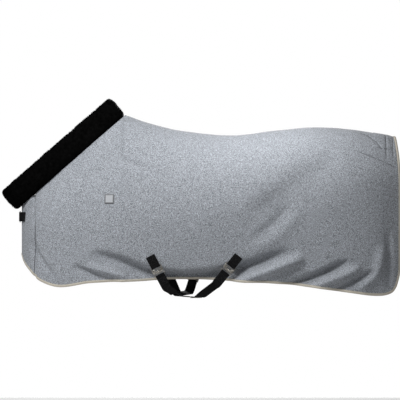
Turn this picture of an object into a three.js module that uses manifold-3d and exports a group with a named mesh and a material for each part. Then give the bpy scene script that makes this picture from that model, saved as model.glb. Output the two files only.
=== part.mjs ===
// A horse rug on an absent horse: two draped side panels and two chest panels, a fur collar, edge
// binding, crossed belly surcingles and a chest strap, each strap closed by a T-hook in a slot plate.
// Millimetres. The origin is the withers, where the collar meets the spine seam. +X points to the
// tail, +Y to the horse's right (off side), +Z up. The horse's left (near side) faces -Y.
import * as THREE from 'three';
import { mergeVertices } from 'three/addons/utils/BufferGeometryUtils.js';
import Module from 'manifold-3d';

const wasm = await Module();
wasm.setup();

// Overall drape
const BACK_LENGTH = 1450;        // withers to tail along X
const CHEST_REACH = 551;         // withers to chest centre along X
const NECK_DROP = 480;           // withers down to the chest end of the neckline
const NOSE_START = -300;         // X where the shoulder starts to curve round to the chest
const SHOULDER_HALF = 238;       // half width of the rug at the shoulder
const NECK_HALF = 150;           // half width of the neckline
const BARREL_GIRTH_SCALE = 1.0;  // widens or narrows every body section
const HEM_SCALE = 1.0;           // deepens or shortens the rug below the widest line
const REAR_LEAN = 22;            // how far the rear edge leans forward at the spine
const CLOTH = 4;                 // panel thickness
const FIT = 0.4;                 // gap between pieces that touch
const CHEST_OVERLAP = 45;        // how far each chest panel runs past the centre
const CHEST_STEP = 11;           // how deep the off chest panel lies under the near one
const CHEST_SEAM_X = -482;       // seam between the body panel and the chest panel

// Trim
const BINDING_WIDTH = 12;
const BINDING_THICK = 9;
const BINDING_GAP = 1;
const SPINE_TAPE_HALF = 12;
const TAPE_THICK = 1.6;
const PATCH_THICK = 1.6;
const LABEL_SIZE = 50;
const LABEL_THICK = 1.5;
const LABEL_X = -81;
const LABEL_Z = -447;
const LABEL_LIFT = 2.2;
const COLLAR_WIDTH = 110;
const COLLAR_THICK = 45;
const COLLAR_GAP = 1.0;
const COLLAR_SPLIT = 4;          // gap between the two collar ends at the chest
const COLLAR_PROUD = 16;         // how far the collar stands past the neckline at the chest

// Webbing and its hardware
const WEB_WIDTH = 50;
const WEB_THICK = 2.2;
const WEB_DOUBLE = 4.5;          // two sewn layers
const TAB_LENGTH = 66;
const LOOP_LENGTH = 58;
const CHEST_TAB = 16;
const CHEST_LOOP = 24;
const PLATE_THICK = 3;
const PLATE_LENGTH = 34;
const BAR_DEPTH = 5;             // depth of the bar that the webbing goes round
const BAR_CLEARANCE = 0.4;
const RAIL = 4.5;                // side rails beside the webbing
const SLOT_LENGTH = 7;
const NOTCH_WIDTH = 9;
const HOOK_STEM = 7.5;
const HOOK_HEAD = 24;
const HOOK_LIFT = 0.4;           // clearance between hook and plate
const HOOK_METAL = 2.5;
const SLIDE_LENGTH = 24;         // adjuster length along the strap
const SLIDE_BAR = 4;
const HOOK_BAR_Y = 47.5;         // from the plate's bar to the hook's bar
const HOOK_FRAME = 4.5;          // the hook's crossbar beside the webbing slot
const CORNER_ROUND = 8;
const TILT = 0.07;               // how much the buckle end stands off the cloth, in radians

// Surcingles, by the back's X: where the tab is sewn, where the strap passes each hem and where it
// is sewn on the off side; the adjuster is slideAt along the stretch slideOn
const SURCINGLES = [
  { name: 'front', tabX: 134, heading: [0.52, 0, -1], nearX: 272, offX: 340, drop: 76,
    anchorX: 396, slideOn: 3, slideAt: 75 },
  { name: 'rear', tabX: 602, heading: [-0.8, 0, -1], nearX: 390, offX: 278, drop: 94,
    anchorX: 190, slideOn: 2, slideAt: 78 },
];
const TAB_Z = -748;
const ANCHOR_Z = -760;
const BELLY_HEART_Z = -700;      // the straps' outer sides face away from here
const CORNER_RADIUS = 45;
const LEAD = 40;                 // straight strap beyond each sewn end
const TAB_LIFT = 2.7;
const STRAP_LIFT = 3.6;
const STRAP_CLEAR = 20;          // from the hem out to the strap that passes it
const PATCH_LIFT = 0.7;
const PATCH_MARGIN = 5.5;
const PATCH_END = 18;
const PATCH_LEAD = 26;
const CHEST_STRAP_Z = -542;
const CHEST_STRAP_LIFT = 8.5;
const CHEST_SEWN_LIFT = 3.2;
const CHEST_LEAD = 8;            // straight webbing beyond the chest buckle
const NEAR_SEWN = [-0.92, -0.87]; // stations between which each chest strap is sewn down
const OFF_SEWN = [-0.87, -0.76];

const half = (value) => value / 2;
const vec = (x, y, z) => new THREE.Vector3(x, y, z);
const clamp01 = (t) => Math.min(1, Math.max(0, t));
const smooth = (a, b, x) => {
  const t = clamp01((x - a) / (b - a));
  return t * t * (3 - 2 * t);
};

// A smooth curve through [x, value] points
function through(points) {
  const slope = points.map((point, i) => {
    const before = points[Math.max(0, i - 1)];
    const after = points[Math.min(points.length - 1, i + 1)];
    return (after[1] - before[1]) / (after[0] - before[0]);
  });
  return (x) => {
    let i = 0;
    while (i < points.length - 2 && x > points[i + 1][0]) i += 1;
    const [x0, y0] = points[i];
    const [x1, y1] = points[i + 1];
    const span = x1 - x0;
    const t = clamp01((x - x0) / span);
    const rise = y1 - y0;
    const bend0 = slope[i] * span;
    const bend1 = slope[i + 1] * span;
    return y0 + bend0 * t + (3 * rise - 2 * bend0 - bend1) * t * t
      + (bend0 + bend1 - 2 * rise) * t * t * t;
  };
}

// Shares of the back length and of the depths, so that the curves follow the overall sizes
const B = BACK_LENGTH / 1450;
const C = CHEST_REACH / 551;
const along = (points) => through(points.map(([x, value]) => [x < 0 ? x * C : x * B, value]));
const spineZ = along([[0, 0], [130, -45], [300, -84], [560, -109], [770, -87], [1000, -66],
  [1200, -77], [1450, -112]]);
const widestZ = along([[-551, -640], [-300, -600], [0, -560], [450, -540], [1050, -430],
  [1450, -420]]);
const hemEdgeZ = along([[-551, -750], [-535, -790], [-503, -832], [-450, -884], [-344, -916],
  [-185, -895], [80, -888], [609, -888], [874, -904], [1192, -946], [1330, -962], [1404, -950],
  [1432, -915], [1450, -845]]);
const halfWidth = along([[-300, SHOULDER_HALF], [-150, 262], [0, 285], [200, 310], [450, 325],
  [700, 320], [900, 307], [1100, 300], [1250, 285], [1350, 262], [1450, 222]]);
const hemTuck = along([[-551, 0], [-300, 8], [0, 30], [200, 52], [480, 48], [700, 26],
  [1100, 10], [1450, 14]]);
const hemZ = (x) => widestZ(x) + (hemEdgeZ(x) - widestZ(x)) * HEM_SCALE + BINDING_WIDTH + BINDING_GAP;

// A station t runs from 1 at the tail, through 0 at the withers, to -1 at the chest centre and past it
const OVERLAP_T = -1 - Math.asin(CHEST_OVERLAP / SHOULDER_HALF) / Math.PI;
function station(t) {
  const turn = Math.max(0, -t) * Math.PI;
  const x = t > 0 ? t * BACK_LENGTH : half(-CHEST_REACH * (1 - Math.cos(turn)));
  const neckY = t > 0 ? 0 : NECK_HALF * Math.sin(turn);
  const neckZ = t > 0 ? spineZ(x) : x * NECK_DROP / CHEST_REACH;
  const nose = (NOSE_START * C - x) / (CHEST_REACH + NOSE_START * C);
  const round = Math.sqrt(Math.max(0, 1 - nose * nose)) * Math.sign(1 + t);
  const wide = (nose > 0 ? SHOULDER_HALF * round : halfWidth(x)) * BARREL_GIRTH_SCALE;
  const start = THREE.MathUtils.degToRad(50) * smooth(0, 0.25, -t);
  return { x, neckY, neckZ, wide, start };
}
const stationAt = (x) => (x > 0 ? x / BACK_LENGTH : -Math.acos(1 + 2 * x / CHEST_REACH) / Math.PI);

// A point on the outer face: v runs from 0 at the spine or neckline to 1 at the hem
const ARCH_SHARE = 0.55;
function drape(side, t, v) {
  const { x, neckY, neckZ, wide, start } = station(t);
  const angle = start + (half(Math.PI) - start) * clamp01(v / ARCH_SHARE);
  const out = (Math.sin(angle) - Math.sin(start)) / (1 - Math.sin(start));
  const down = 1 - Math.cos(angle) / Math.cos(start);
  const hang = clamp01((v - ARCH_SHARE) / (1 - ARCH_SHARE));
  const middle = widestZ(x);
  const y = neckY + (wide - neckY) * out - hemTuck(x) * Math.pow(hang, 1.5);
  const z = neckZ + (middle - neckZ) * down + (hemZ(x) - middle) * hang;
  const lean = REAR_LEAN * smooth(0.8, 1, t) * (1 - smooth(0, 0.5, v));
  return vec(x - lean, side * (y + half(FIT)), z);
}

// The share v at which a station reaches height z
function rowAt(t, z) {
  let [high, low] = [0, 1];
  for (let i = 0; i < 24; i += 1) {
    const middle = half(high + low);
    if (drape(1, t, middle).z > z) high = middle;
    else low = middle;
  }
  return half(high + low);
}

// The outward normal of the drape
const PROBE = 1e-3;
function facing(side, t, v) {
  const t0 = Math.max(t - PROBE, OVERLAP_T);
  const t1 = Math.min(t + PROBE, 1);
  const v0 = Math.max(v - PROBE, 0);
  const v1 = Math.min(v + PROBE, 1);
  const forward = drape(side, t1, v).sub(drape(side, t0, v));
  const downward = drape(side, t, v1).sub(drape(side, t, v0));
  return forward.cross(downward).multiplyScalar(side).normalize();
}

// The off chest panel steps inward under the near one
function chestStep(side, t) {
  const past = station(t).wide;
  return side > 0 && t < 0 ? CHEST_STEP * (1 - smooth(55, 130, past)) : 0;
}
function skin(side, t, v, depth) {
  return drape(side, t, v).addScaledVector(facing(side, t, v), -depth - chestStep(side, t));
}

// A closed body from equal rings of points; point i of a ring faces point n-1-i across the end caps
function loft(rings) {
  const n = rings[0].length;
  const indices = [];
  const quad = (a, b, c, d) => indices.push(a, b, c, a, c, d);
  for (let r = 0; r + 1 < rings.length; r += 1) {
    for (let i = 0; i < n; i += 1) {
      const next = (i + 1) % n;
      quad(r * n + i, r * n + next, (r + 1) * n + next, (r + 1) * n + i);
    }
  }
  const last = (rings.length - 1) * n;
  for (let i = 0; i + 1 < half(n); i += 1) {
    quad(n - 1 - i, n - 2 - i, i + 1, i);
    quad(last + i, last + i + 1, last + n - 2 - i, last + n - 1 - i);
  }
  const points = rings.flat();
  let volume = 0;
  for (let k = 0; k < indices.length; k += 3) {
    const [a, b, c] = [points[indices[k]], points[indices[k + 1]], points[indices[k + 2]]];
    volume += a.dot(vec(0, 0, 0).crossVectors(b, c));
  }
  if (volume < 0) indices.reverse();
  const geometry = new THREE.BufferGeometry().setFromPoints(points);
  geometry.setIndex(indices);
  return geometry;
}

// Manifold's join and cut, on closed three.js geometries
function solid(geometry) {
  const bare = geometry.clone();
  bare.deleteAttribute('normal');
  bare.deleteAttribute('uv');
  const merged = mergeVertices(bare, 1e-3);
  const vertProperties = new Float32Array(merged.attributes.position.array);
  const triVerts = new Uint32Array(merged.index.array);
  return new wasm.Manifold(new wasm.Mesh({ numProp: 3, vertProperties, triVerts }));
}
function joined(geometries) {
  const whole = geometries.map(solid).reduce((sum, part) => sum.add(part));
  const mesh = whole.getMesh();
  const geometry = new THREE.BufferGeometry();
  geometry.setAttribute('position', new THREE.BufferAttribute(mesh.vertProperties, 3));
  geometry.setIndex(new THREE.BufferAttribute(mesh.triVerts, 1));
  return geometry;
}
function box(x0, x1, y0, y1, z0, z1) {
  const geometry = new THREE.BoxGeometry(x1 - x0, y1 - y0, z1 - z0);
  return geometry.translate(half(x0 + x1), half(y0 + y1), half(z0 + z1));
}

const finish = (color, roughness, metalness = 0) =>
  new THREE.MeshStandardMaterial({ color, roughness, metalness });
const FLEECE = finish(0x9a9ea8, 0.95);
const FUR = finish(0x060606, 1.0);
const BINDING = finish(0xe6e1d3, 0.85);
const WEBBING = finish(0x0b0b0c, 0.85);
const METAL = finish(0xc9c6bd, 0.3, 1);
const LABEL = finish(0xb4b6bf, 0.7);

const rug = new THREE.Group();
function add(name, geometry, material, parent = rug) {
  const mesh = new THREE.Mesh(geometry, material);
  mesh.name = name;
  parent.add(mesh);
}

// Cloth: a panel between two stations, lofted column by column
const steps = (from, to, count) =>
  Array.from({ length: count + 1 }, (_, i) => from + (to - from) * i / count);
function panel(side, columns, top, bottom, rows, near, far) {
  const rowsDown = steps(top, bottom, rows);
  return loft(columns.map((t) => {
    const outside = rowsDown.map((v) => skin(side, t, v, near));
    const inside = rowsDown.map((v) => skin(side, t, v, far));
    return outside.concat(inside.reverse());
  }));
}

const SEAM_T = stationAt(CHEST_SEAM_X * C);
const SEAM_GAP_T = 0.0008;
const BODY_COLUMNS = [...steps(SEAM_T + SEAM_GAP_T, 0, 11), ...steps(0, 0.9, 17).slice(1),
  ...steps(0.9, 1, 5).slice(1)];
const OVERLAP_STEP = half(-1 - OVERLAP_T);
const CHEST_COLUMNS = [...steps(OVERLAP_T, -1 + 2 * OVERLAP_STEP, 4),
  ...steps(-1 + 2 * OVERLAP_STEP, SEAM_T - SEAM_GAP_T, 6).slice(1)];
const BODY_ROWS = 12;
const CHEST_ROWS = 6;
const PATCH_ROWS = 3;            // the tail patch lies over these rows of the body panel
const PATCH_FROM = 0.92;
const PATCH_TO = 0.98;

for (const [name, side] of [['near', -1], ['off', 1]]) {
  add(`${name}_body_panel`, panel(side, BODY_COLUMNS, 0, 1, BODY_ROWS, 0, CLOTH), FLEECE);
  add(`${name}_chest_panel`, panel(side, CHEST_COLUMNS, 0, 1, CHEST_ROWS, 0, CLOTH), FLEECE);
  add(`${name}_tail_patch`, panel(side, steps(PATCH_FROM, PATCH_TO, 3), 0, PATCH_ROWS / BODY_ROWS,
    PATCH_ROWS, -FIT - PATCH_THICK, -FIT), FLEECE);
  add(`${name}_edge_binding`, binding(side), BINDING);
}

// A bar of binding outside the front edge, the hem and the rear edge of one side
function binding(side) {
  const hem = [...CHEST_COLUMNS, ...BODY_COLUMNS];
  const edge = [...steps(0.04, 0.94, 8).map((v) => [OVERLAP_T, v]), ...hem.map((t) => [t, 1]),
    ...steps(0.96, 0.03, 10).map((v) => [1, v])];
  const middle = edge.map(([t, v]) => skin(side, t, v, half(CLOTH)));
  return loft(edge.map(([t, v], i) => {
    const before = middle[Math.max(0, i - 1)];
    const after = middle[Math.min(edge.length - 1, i + 1)];
    const normal = facing(side, t, v);
    const out = after.clone().sub(before).cross(normal).multiplyScalar(-side).normalize();
    const corner = (reach, rise) => middle[i].clone()
      .addScaledVector(out, reach).addScaledVector(normal, rise);
    return [corner(BINDING_GAP, half(BINDING_THICK)),
      corner(BINDING_GAP + BINDING_WIDTH, half(BINDING_THICK)),
      corner(BINDING_GAP + BINDING_WIDTH, -half(BINDING_THICK)),
      corner(BINDING_GAP, -half(BINDING_THICK))];
  }));
}

// The tape under the spine seam lies along the panels' inner faces
function spineTape() {
  const depths = [CLOTH + 2 * FIT, CLOTH + 2 * FIT + TAPE_THICK];
  return loft(BODY_COLUMNS.filter((t) => t > 0.01 && t < 0.99).map((t) => {
    const [upper, lower] = depths.map((depth) => [1, 0, -1].map((place) => {
      const top = skin(place || 1, t, 0, depth);
      const next = skin(place || 1, t, 1 / BODY_ROWS, depth);
      const share = Math.abs(place) * SPINE_TAPE_HALF / Math.abs(next.y - top.y);
      return top.lerp(next, share).setY(place * SPINE_TAPE_HALF);
    }));
    return upper.concat(lower.reverse());
  }));
}
add('spine_tape', spineTape(), BINDING);

// The collar: a flat-sided roll round the neckline, open at the chest
const NECK_LENGTH = Math.hypot(CHEST_REACH, NECK_DROP);
const neckDown = vec(-CHEST_REACH, 0, -NECK_DROP).divideScalar(NECK_LENGTH);
const neckUp = vec(-NECK_DROP, 0, CHEST_REACH).divideScalar(NECK_LENGTH);
function collar() {
  const inset = half(COLLAR_THICK);
  const reach = NECK_LENGTH + COLLAR_PROUD;
  const start = half(COLLAR_SPLIT) / NECK_HALF;
  const turns = steps(-Math.PI + start, Math.PI - start, 44);
  return loft(turns.map((turn) => {
    const centre = neckDown.clone()
      .multiplyScalar(inset + half((reach - inset) * (1 - Math.cos(turn))))
      .addScaledVector(neckUp, half(COLLAR_WIDTH) + COLLAR_GAP)
      .add(vec(0, (NECK_HALF - half(CLOTH)) * Math.sin(turn), 0));
    const outward = neckDown.clone().multiplyScalar(-Math.cos(turn) * NECK_HALF)
      .add(vec(0, Math.sin(turn) * half(reach), 0)).normalize();
    return steps(0, 2 * Math.PI * 11 / 12, 11).map((a) => {
      const lobe = (value) => Math.sign(value) * Math.pow(Math.abs(value), 0.6);
      return centre.clone()
        .addScaledVector(neckUp, half(COLLAR_WIDTH) * lobe(Math.sin(a + Math.PI / 12)))
        .addScaledVector(outward, half(COLLAR_THICK) * lobe(Math.cos(a + Math.PI / 12)));
    });
  }));
}
add('fur_collar', collar(), FUR);

// A frame on the cloth: x across the webbing, y along it, z off the cloth
function frameOn(side, t, v, heading, lift, tilt) {
  const outward = facing(side, t, v);
  const ahead = heading.clone().addScaledVector(outward, -heading.dot(outward)).normalize();
  const acrossWeb = vec(0, 0, 0).crossVectors(ahead, outward).normalize();
  ahead.applyAxisAngle(acrossWeb, tilt);
  outward.applyAxisAngle(acrossWeb, tilt);
  const group = new THREE.Group();
  const place = drape(side, t, v).addScaledVector(facing(side, t, v), lift - chestStep(side, t));
  group.applyMatrix4(new THREE.Matrix4().makeBasis(acrossWeb, ahead, outward).setPosition(place));
  rug.add(group);
  group.updateMatrixWorld();
  return group;
}

const LABEL_T = stationAt(LABEL_X * C);
add('blank_label', box(-half(LABEL_SIZE), half(LABEL_SIZE), -half(LABEL_SIZE), half(LABEL_SIZE),
  0, LABEL_THICK), LABEL, frameOn(-1, LABEL_T, rowAt(LABEL_T, LABEL_Z), vec(0, 0, -1), LABEL_LIFT, 0));

// Webbing sewn round a bar: a tube of webbing at y = 0 and two flat layers running along y
const EYE_INNER = half(Math.hypot(BAR_DEPTH, PLATE_THICK)) + BAR_CLEARANCE;
const EYE_OUTER = EYE_INNER + WEB_THICK;
function sewnLoop(length, direction) {
  const start = Math.asin(half(WEB_DOUBLE) / EYE_OUTER);
  const outline = new THREE.Shape();
  outline.moveTo(direction * length, half(WEB_DOUBLE));
  outline.lineTo(direction * length, -half(WEB_DOUBLE));
  const turn = direction > 0 ? 0 : Math.PI;
  outline.absarc(0, 0, EYE_OUTER, turn - direction * start, turn + direction * start, direction > 0);
  const eye = new THREE.Path();
  eye.absarc(0, 0, EYE_INNER, 0, 2 * Math.PI, false);
  outline.holes.push(eye);
  const settings = { depth: WEB_WIDTH, bevelEnabled: false, curveSegments: 8 };
  const geometry = new THREE.ExtrudeGeometry(outline, settings);
  geometry.translate(0, 0, -half(WEB_WIDTH));
  return geometry.applyMatrix4(new THREE.Matrix4().makeBasis(
    vec(0, 1, 0), vec(0, 0, 1), vec(1, 0, 0)));
}

const FRAME_HALF = half(WEB_WIDTH) + 1 + RAIL;
const SLOT_HALF = half(WEB_WIDTH) + 1;
const SLOT_END = half(BAR_DEPTH) + SLOT_LENGTH;
const MOUTH_END = SLOT_END + 11;
const NOTCH_END = MOUTH_END + 7;
const hole = (x, y0, y1) => new THREE.Path(
  [[-x, y0], [x, y0], [x, y1], [-x, y1]].map(([a, b]) => new THREE.Vector2(a, b)));

// The slot plate hangs on the tab's bar and has a wide mouth over a narrow notch
function slotPlate() {
  const outline = new THREE.Shape();
  const end = -half(BAR_DEPTH) + PLATE_LENGTH;
  outline.moveTo(-FRAME_HALF, -half(BAR_DEPTH));
  outline.lineTo(FRAME_HALF, -half(BAR_DEPTH));
  outline.lineTo(FRAME_HALF, end - CORNER_ROUND);
  outline.quadraticCurveTo(FRAME_HALF, end, FRAME_HALF - CORNER_ROUND, end);
  outline.lineTo(CORNER_ROUND - FRAME_HALF, end);
  outline.quadraticCurveTo(-FRAME_HALF, end, -FRAME_HALF, end - CORNER_ROUND);
  outline.holes.push(hole(SLOT_HALF, half(BAR_DEPTH), SLOT_END));
  const mouth = half(HOOK_HEAD) + 2;
  outline.holes.push(new THREE.Path([[-mouth, SLOT_END + 4], [mouth, SLOT_END + 4],
    [mouth, MOUTH_END], [half(NOTCH_WIDTH), MOUTH_END], [half(NOTCH_WIDTH), NOTCH_END],
    [-half(NOTCH_WIDTH), NOTCH_END], [-half(NOTCH_WIDTH), MOUTH_END], [-mouth, MOUTH_END],
  ].map(([a, b]) => new THREE.Vector2(a, b))));
  const settings = { depth: PLATE_THICK, bevelEnabled: false, curveSegments: 5 };
  return new THREE.ExtrudeGeometry(outline, settings).translate(0, 0, -half(PLATE_THICK));
}

// The T-hook lies on the plate, drops through the notch and spreads its head behind it
function tHook() {
  const slotStart = HOOK_BAR_Y - half(BAR_DEPTH) - SLOT_LENGTH;
  const frameTop = slotStart - HOOK_FRAME;
  const frameEnd = HOOK_BAR_Y + half(BAR_DEPTH);
  const outline = new THREE.Shape();
  outline.moveTo(-half(HOOK_STEM), frameTop);
  outline.lineTo(half(HOOK_STEM), frameTop);
  outline.quadraticCurveTo(FRAME_HALF, frameTop, FRAME_HALF, frameTop + CORNER_ROUND);
  outline.lineTo(FRAME_HALF, frameEnd);
  outline.lineTo(-FRAME_HALF, frameEnd);
  outline.lineTo(-FRAME_HALF, frameTop + CORNER_ROUND);
  outline.quadraticCurveTo(-FRAME_HALF, frameTop, -half(HOOK_STEM), frameTop);
  outline.holes.push(hole(SLOT_HALF, slotStart, slotStart + SLOT_LENGTH));
  const settings = { depth: PLATE_THICK, bevelEnabled: false, curveSegments: 5 };
  const frame = new THREE.ExtrudeGeometry(outline, settings).translate(0, 0, -half(PLATE_THICK));
  const level = half(PLATE_THICK) + HOOK_LIFT;
  const post = NOTCH_END - 1 - HOOK_METAL;
  const lip = half(HOOK_STEM);
  const root = frameTop + HOOK_FRAME - 1;
  return joined([frame,
    box(-lip, lip, frameTop + 0.2, root, 0.5, level + HOOK_METAL),
    box(-lip, lip, post, frameTop + 1, level, level + HOOK_METAL),
    box(-lip, lip, post, post + HOOK_METAL, -level - HOOK_METAL, level + 1),
    box(-half(HOOK_HEAD), half(HOOK_HEAD), post - 3, post + HOOK_METAL, -level - HOOK_METAL,
      -level)]);
}

// Plate, hook and sewn strap end, with the plate's bar at y = barY in the frame
function fastener(prefix, group, barY, loopLength) {
  const bar = new THREE.Group();
  bar.position.set(0, barY, 0);
  group.add(bar);
  const hookBar = new THREE.Group();
  hookBar.position.set(0, HOOK_BAR_Y, 0);
  bar.add(hookBar);
  add(`${prefix}_slot_plate`, slotPlate(), METAL, bar);
  add(`${prefix}_t_hook`, tHook(), METAL, bar);
  add(`${prefix}_strap_loop`, sewnLoop(loopLength, 1), WEBBING, hookBar);
  rug.updateMatrixWorld(true);
  const end = hookBar.localToWorld(vec(0, loopLength + FIT, 0));
  const ahead = vec(0, 1, 0).transformDirection(hookBar.matrixWorld);
  const outward = vec(0, 0, 1).transformDirection(hookBar.matrixWorld);
  return { bar, end, ahead, outward };
}

// Webbing through places, each with the way ahead and the outward side
function ribbon(places) {
  return loft(places.map(({ point, ahead, outward }) => {
    const rise = outward.clone().addScaledVector(ahead, -outward.dot(ahead)).normalize();
    const sideways = vec(0, 0, 0).crossVectors(ahead, rise).multiplyScalar(half(WEB_WIDTH));
    rise.multiplyScalar(half(WEB_THICK));
    return [[1, 1], [-1, 1], [-1, -1], [1, -1]].map(([a, b]) => point.clone()
      .addScaledVector(sideways, a).addScaledVector(rise, b));
  }));
}

// Places along straight stretches with rounded corners; each stretch keeps its own outward side
const CORNER_STEPS = 7;
function strapPlaces(points, outwards, radius) {
  const heading = (i) => points[i + 1].clone().sub(points[i]).normalize();
  const last = points.length - 1;
  const places = [{ point: points[0], ahead: heading(0), outward: outwards[0] }];
  for (let i = 1; i < last; i += 1) {
    const reach = Math.min(radius, 0.47 * points[i].distanceTo(points[i - 1]),
      0.47 * points[i].distanceTo(points[i + 1]));
    const back = points[i].clone().addScaledVector(heading(i - 1), -reach);
    const on = points[i].clone().addScaledVector(heading(i), reach);
    const curve = new THREE.QuadraticBezierCurve3(back, points[i], on);
    for (const s of steps(0, 1, CORNER_STEPS)) {
      const outward = outwards[i - 1].clone().lerp(outwards[i], smooth(0, 1, s)).normalize();
      places.push({ point: curve.getPoint(s), ahead: curve.getTangent(s), outward });
    }
  }
  places.push({ point: points[last], ahead: heading(last - 1), outward: outwards[last - 1] });
  return places;
}

// The adjuster: two rails and three bars, woven round a strap that runs along its y
function adjuster() {
  const inner = half(WEB_WIDTH) + 1;
  const outer = inner + RAIL - 1;
  const near = half(WEB_THICK) + 0.6;
  const far = near + 2.4;
  const end = half(SLIDE_LENGTH);
  const crossBar = (y, z0, z1) => box(-outer, outer, y - half(SLIDE_BAR), y + half(SLIDE_BAR), z0, z1);
  return joined([box(-outer, -inner, -end, end, -far, far), box(inner, outer, -end, end, -far, far),
    crossBar(half(SLIDE_BAR) - end, near, far), crossBar(end - half(SLIDE_BAR), near, far),
    crossBar(0, -far, -near)]);
}
function adjusterOn(name, from, to, distance, outward) {
  const ahead = to.clone().sub(from).normalize();
  const rise = outward.clone().addScaledVector(ahead, -outward.dot(ahead)).normalize();
  const acrossWeb = vec(0, 0, 0).crossVectors(ahead, rise);
  const group = new THREE.Group();
  const place = from.clone().addScaledVector(ahead, distance);
  group.applyMatrix4(new THREE.Matrix4().makeBasis(acrossWeb, ahead, rise).setPosition(place));
  rug.add(group);
  add(name, adjuster(), METAL, group);
}

// Surcingles: a near tab and fastener, a strap under the belly, and a patch on the off side
const BELLY_HEART = vec(0, 0, BELLY_HEART_Z);
const hemSide = (x) => halfWidth(x) * BARREL_GIRTH_SCALE - hemTuck(x) + STRAP_CLEAR;
const passing = (side, x, drop) => vec(x, side * hemSide(x), hemZ(x) - drop);
const fromHeart = (a, b) => a.clone().add(b).multiplyScalar(0.5).sub(BELLY_HEART).setX(0);

for (const strap of SURCINGLES) {
  const tabT = stationAt(strap.tabX * B);
  const near = passing(-1, strap.nearX * B, strap.drop);
  const off = passing(1, strap.offX * B, strap.drop);
  const group = frameOn(-1, tabT, rowAt(tabT, TAB_Z), vec(...strap.heading),
    TAB_LIFT, TILT);
  const made = fastener(strap.name, group, TAB_LENGTH, LOOP_LENGTH);
  add(`${strap.name}_near_tab`, sewnLoop(TAB_LENGTH, -1), WEBBING, made.bar);
  const anchorT = stationAt(strap.anchorX * B);
  const anchorV = rowAt(anchorT, ANCHOR_Z);
  const normal = facing(1, anchorT, anchorV);
  const anchor = drape(1, anchorT, anchorV).addScaledVector(normal, STRAP_LIFT);
  const lay = off.clone().sub(anchor);
  lay.addScaledVector(normal, -lay.dot(normal)).setLength(LEAD);
  const points = [made.end, made.end.clone().addScaledVector(made.ahead, half(LEAD)), near, off,
    anchor.clone().add(lay), anchor];
  const outwards = [made.outward, fromHeart(points[1], near), fromHeart(near, off),
    fromHeart(off, points[4]), normal];
  outwards.forEach((outward) => outward.normalize());
  add(`${strap.name}_surcingle`, ribbon(strapPlaces(points, outwards, CORNER_RADIUS)), WEBBING);
  const on = strap.slideOn;
  adjusterOn(`${strap.name}_adjuster`, points[on], points[on + 1], strap.slideAt, outwards[on]);
  const patch = frameOn(1, anchorT, anchorV, lay, PATCH_LIFT, 0);
  const margin = half(WEB_WIDTH) + PATCH_MARGIN;
  add(`${strap.name}_off_patch`, box(-margin, margin, -PATCH_END, PATCH_LEAD, 0, PATCH_THICK),
    WEBBING, patch);
}

// Chest closure: hook-and-loop tapes between the overlapping panels, and a strap across the front
const CLOSURE_ROWS = [0.5, 5 / CHEST_ROWS];
const closureColumns = steps(-1 - OVERLAP_STEP, -1 + OVERLAP_STEP, 2);
const closureTape = (side, near) =>
  panel(side, closureColumns, ...CLOSURE_ROWS, 2, near, near + TAPE_THICK);
add('chest_hook_tape', closureTape(-1, CLOTH + FIT), WEBBING);
add('chest_loop_tape', closureTape(1, -FIT - TAPE_THICK), WEBBING);

const chestFrame = frameOn(-1, -1, rowAt(-1, CHEST_STRAP_Z), vec(0, 1, 0), CHEST_STRAP_LIFT, 0);
const chest = fastener('chest', chestFrame, -half(HOOK_BAR_Y), CHEST_LOOP);
add('chest_near_tab', sewnLoop(CHEST_TAB, -1), WEBBING, chest.bar);

// From the buckle the webbing bends down to the cloth and follows it to its sewn end
function chestStrap(side, start, ahead, from, to) {
  const straight = [0, CHEST_LEAD].map((distance) => ({ ahead, outward: chest.outward,
    point: start.clone().addScaledVector(ahead, distance) }));
  const sewn = steps(from, to, 5).map((t) => {
    const row = rowAt(t, CHEST_STRAP_Z);
    const point = skin(side, t, row, -CHEST_SEWN_LIFT);
    const next = drape(side, t + PROBE, row).sub(drape(side, t, row)).setZ(0).normalize();
    return { point, ahead: next, outward: facing(side, t, row) };
  });
  return ribbon([...straight, ...sewn]);
}
const tabEnd = chest.bar.localToWorld(vec(0, -CHEST_TAB - FIT, 0));
const tabAhead = chest.ahead.clone().negate();
add('chest_near_strap', chestStrap(-1, tabEnd, tabAhead, ...NEAR_SEWN), WEBBING);
add('chest_off_strap', chestStrap(1, chest.end, chest.ahead, ...OFF_SEWN), WEBBING);

export default rug;
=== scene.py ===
import math

import bmesh
import bpy
import numpy as np
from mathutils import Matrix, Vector, noise


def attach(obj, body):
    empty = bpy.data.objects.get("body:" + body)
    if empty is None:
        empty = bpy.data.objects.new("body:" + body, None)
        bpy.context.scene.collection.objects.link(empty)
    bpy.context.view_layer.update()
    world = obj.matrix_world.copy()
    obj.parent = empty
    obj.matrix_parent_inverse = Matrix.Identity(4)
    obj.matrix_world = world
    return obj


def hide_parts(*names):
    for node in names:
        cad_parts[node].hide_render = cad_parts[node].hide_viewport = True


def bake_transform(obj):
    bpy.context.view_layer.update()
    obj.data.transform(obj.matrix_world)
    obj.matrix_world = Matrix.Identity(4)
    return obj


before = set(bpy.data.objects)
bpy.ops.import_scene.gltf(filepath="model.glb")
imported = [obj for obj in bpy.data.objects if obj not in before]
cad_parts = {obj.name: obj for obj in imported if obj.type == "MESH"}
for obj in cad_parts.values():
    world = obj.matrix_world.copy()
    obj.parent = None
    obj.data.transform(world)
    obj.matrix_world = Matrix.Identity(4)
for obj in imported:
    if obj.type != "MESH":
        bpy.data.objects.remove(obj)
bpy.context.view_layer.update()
rng = np.random.default_rng(7)

MM = 0.001
LABEL_SIZE = 0.050
PI = math.pi

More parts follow.
